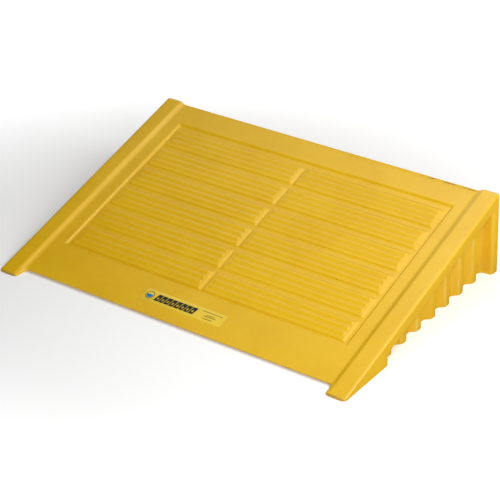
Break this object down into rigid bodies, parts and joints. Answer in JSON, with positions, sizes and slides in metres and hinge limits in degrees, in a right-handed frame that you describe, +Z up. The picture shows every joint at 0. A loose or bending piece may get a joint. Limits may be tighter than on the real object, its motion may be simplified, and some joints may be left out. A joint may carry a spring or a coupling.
{
  "type": "spill pallet loading ramp",
  "caption": "Moulded plastic ramp for rolling drums onto a spill containment pallet, with side rails, ribbed tread pads and corrugated side walls.",
  "frame": {"origin": "centre of the footprint, on the floor", "axes": "+X across the ramp, to the right of someone walking up it; +Y up the slope, towards the pallet; +Z up"},
  "size_m": [1.2702, 0.8736, 0.2618],
  "materials": {
    "polyethylene": "satin safety-yellow polyethylene with a faint orange-peel texture",
    "label_film": "smooth printed vinyl film"
  },
  "bodies": {
    "root": {"deck_panel": "polyethylene", "back_rim": "polyethylene", "back_wall": "polyethylene", "left_rail": "polyethylene", "left_front_gusset": "polyethylene", "left_side_wall": "polyethylene", "left_corner_post": "polyethylene", "right_rail": "polyethylene", "right_front_gusset": "polyethylene", "right_side_wall": "polyethylene", "right_corner_post": "polyethylene", "support_rib_1": "polyethylene", "support_rib_2": "polyethylene", "support_rib_3": "polyethylene", "support_rib_4": "polyethylene", "support_rib_5": "polyethylene", "label": "label_film"}
  },
  "joints": []
}
